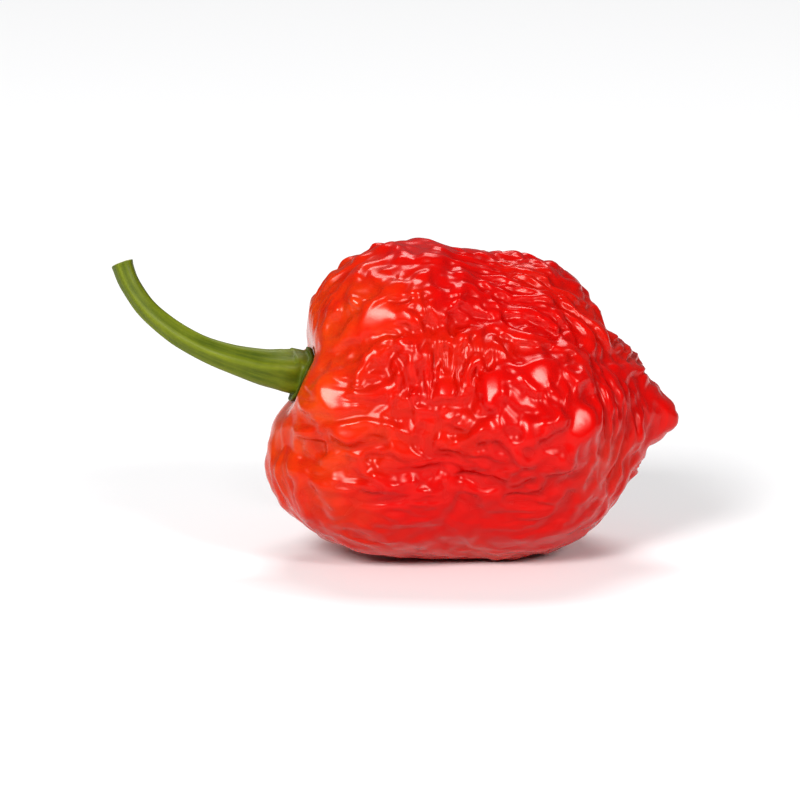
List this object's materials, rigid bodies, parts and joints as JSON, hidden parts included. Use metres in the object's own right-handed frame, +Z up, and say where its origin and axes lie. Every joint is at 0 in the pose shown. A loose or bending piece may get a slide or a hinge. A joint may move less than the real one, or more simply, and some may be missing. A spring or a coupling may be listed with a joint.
{
  "type": "carolina reaper pepper",
  "caption": "Small red Carolina reaper pepper lying on its side: a wrinkled, blistered, rounded pod with a short blunt tail, and a green stalk that curves up from its calyx.",
  "frame": {"origin": "on the small flat spot under the pod that it rests on", "axes": "+X from the stalk towards the tail, +Z up, +Y towards the side that faces away in the picture"},
  "size_m": [0.0488, 0.0284, 0.0276],
  "materials": {
    "pepper_skin": "waxy gloss over wrinkled skin",
    "green_stem": "satin"
  },
  "bodies": {
    "root": {"pod": "pepper_skin", "stem": "green_stem"}
  },
  "joints": []
}
